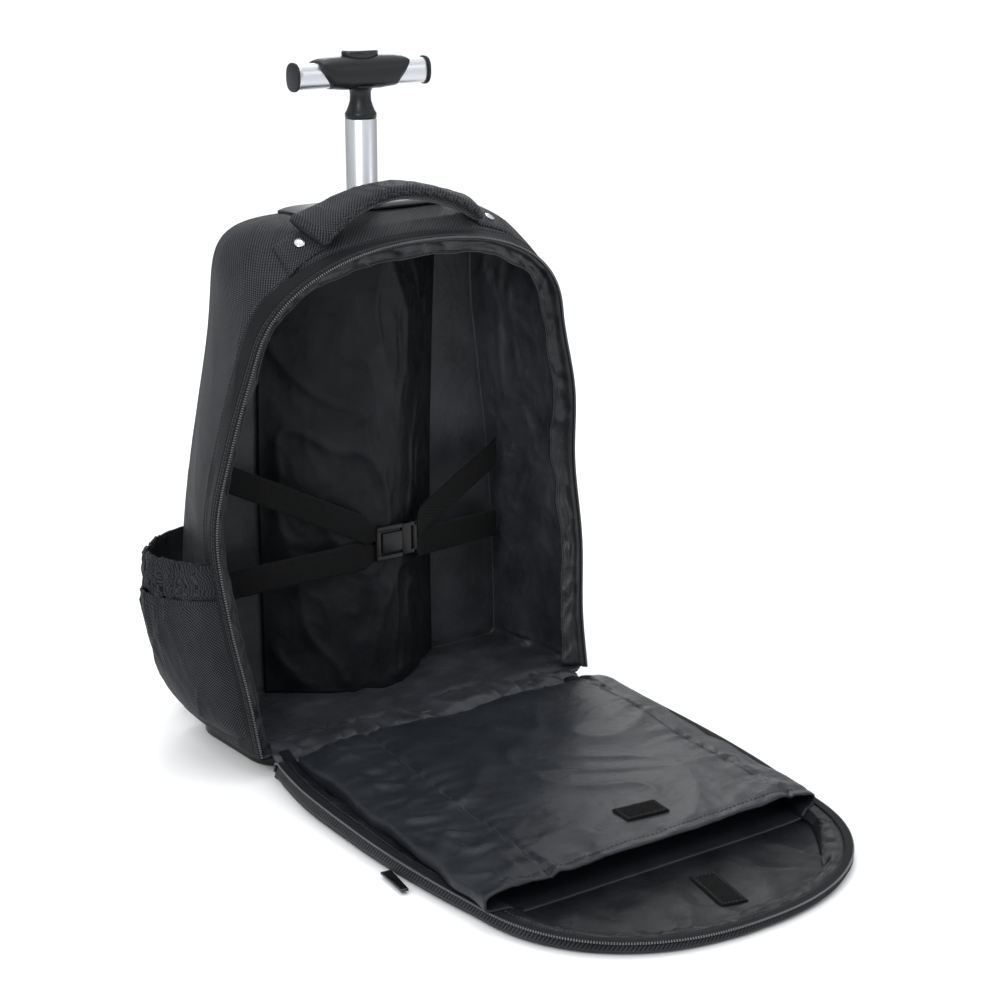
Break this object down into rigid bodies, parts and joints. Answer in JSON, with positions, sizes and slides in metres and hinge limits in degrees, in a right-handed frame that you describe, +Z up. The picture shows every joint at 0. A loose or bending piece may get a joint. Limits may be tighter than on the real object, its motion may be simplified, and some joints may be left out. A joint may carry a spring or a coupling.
{
  "type": "wheeled backpack",
  "caption": "Wheeled backpack standing open, its arched front panel unzipped onto the floor, with a telescoping pull handle, side bottle pocket and laptop sleeve.",
  "frame": {"origin": "middle of the base plate's flat underside, on the floor", "axes": "+X to the right as one looks into the opening, +Y towards the wearer's back, +Z up along the telescoping pole"},
  "size_m": [0.4106, 0.6365, 0.5765],
  "materials": {
    "twill": "charcoal polyester twill",
    "lining": "dark grey coated nylon lining",
    "mesh": "black padded air mesh",
    "webbing": "black woven webbing",
    "zip": "black coil zip",
    "plastic": "dark grey moulded plastic",
    "grip": "dark grey satin plastic",
    "aluminium": "satin drawn aluminium",
    "steel": "polished steel",
    "rubber": "black moulded rubber"
  },
  "bodies": {
    "bag": {"body_shell": "twill", "opening_zip": "zip", "zip_binding": "lining", "hinge_web": "lining", "front_panel": "twill", "panel_zip": "zip", "laptop_sleeve": "lining", "loop_patch": "webbing", "hook_tab": "webbing", "pocket_zip_pull": "zip", "side_pocket": "twill", "pocket_elastic": "twill", "pole_cover": "lining", "compression_strap_left_upper": "webbing", "compression_strap_left_lower": "webbing", "compression_strap_right_upper": "webbing", "compression_strap_right_lower": "webbing", "buckle_socket": "plastic", "buckle_plug": "plastic", "pole_outer_tube": "aluminium", "pole_bezel": "plastic", "carry_handle": "twill", "handle_anchor_left": "twill", "handle_anchor_right": "twill", "handle_rivet_left": "steel", "handle_rivet_right": "steel", "base_plate": "plastic", "wheel_housing_left": "plastic", "wheel_housing_right": "plastic", "wheel_axle_left": "steel", "wheel_axle_right": "steel", "back_pad": "mesh", "shoulder_strap_left": "mesh", "shoulder_strap_right": "mesh", "shoulder_webbing_left": "webbing", "shoulder_webbing_right": "webbing"},
    "pole_middle": {"pole_middle_tube": "aluminium"},
    "pole_top": {"pole_top_tube": "aluminium", "grip_hub": "grip", "grip_arm_left": "aluminium", "grip_arm_right": "aluminium", "grip_cap_left": "grip", "grip_cap_right": "grip"},
    "button": {"push_button": "plastic"},
    "left_wheel": {"wheel_left": "rubber"},
    "right_wheel": {"wheel_right": "rubber"}
  },
  "joints": [
    {"name": "pole_middle_slide", "type": "slide", "parent": "bag", "child": "pole_middle", "axis": [0, 0, 1], "range_m": [0, 0.2]},
    {"name": "pole_top_slide", "type": "slide", "parent": "pole_middle", "child": "pole_top", "axis": [0, 0, 1], "range_m": [-0.064, 0.2]},
    {"name": "push_button_slide", "type": "slide", "parent": "pole_top", "child": "button", "axis": [0, 0, 1], "range_m": [-0.003, 0], "stiffness_N_per_m": 400, "springref_m": 0.002},
    {"name": "wheel_left_spin", "type": "hinge", "parent": "bag", "child": "left_wheel", "pos_m": [-0.127, 0.10486, 0.0263], "axis": [1, 0, 0], "continuous": true},
    {"name": "wheel_right_spin", "type": "hinge", "parent": "bag", "child": "right_wheel", "pos_m": [0.127, 0.10486, 0.0263], "axis": [1, 0, 0], "continuous": true}
  ]
}
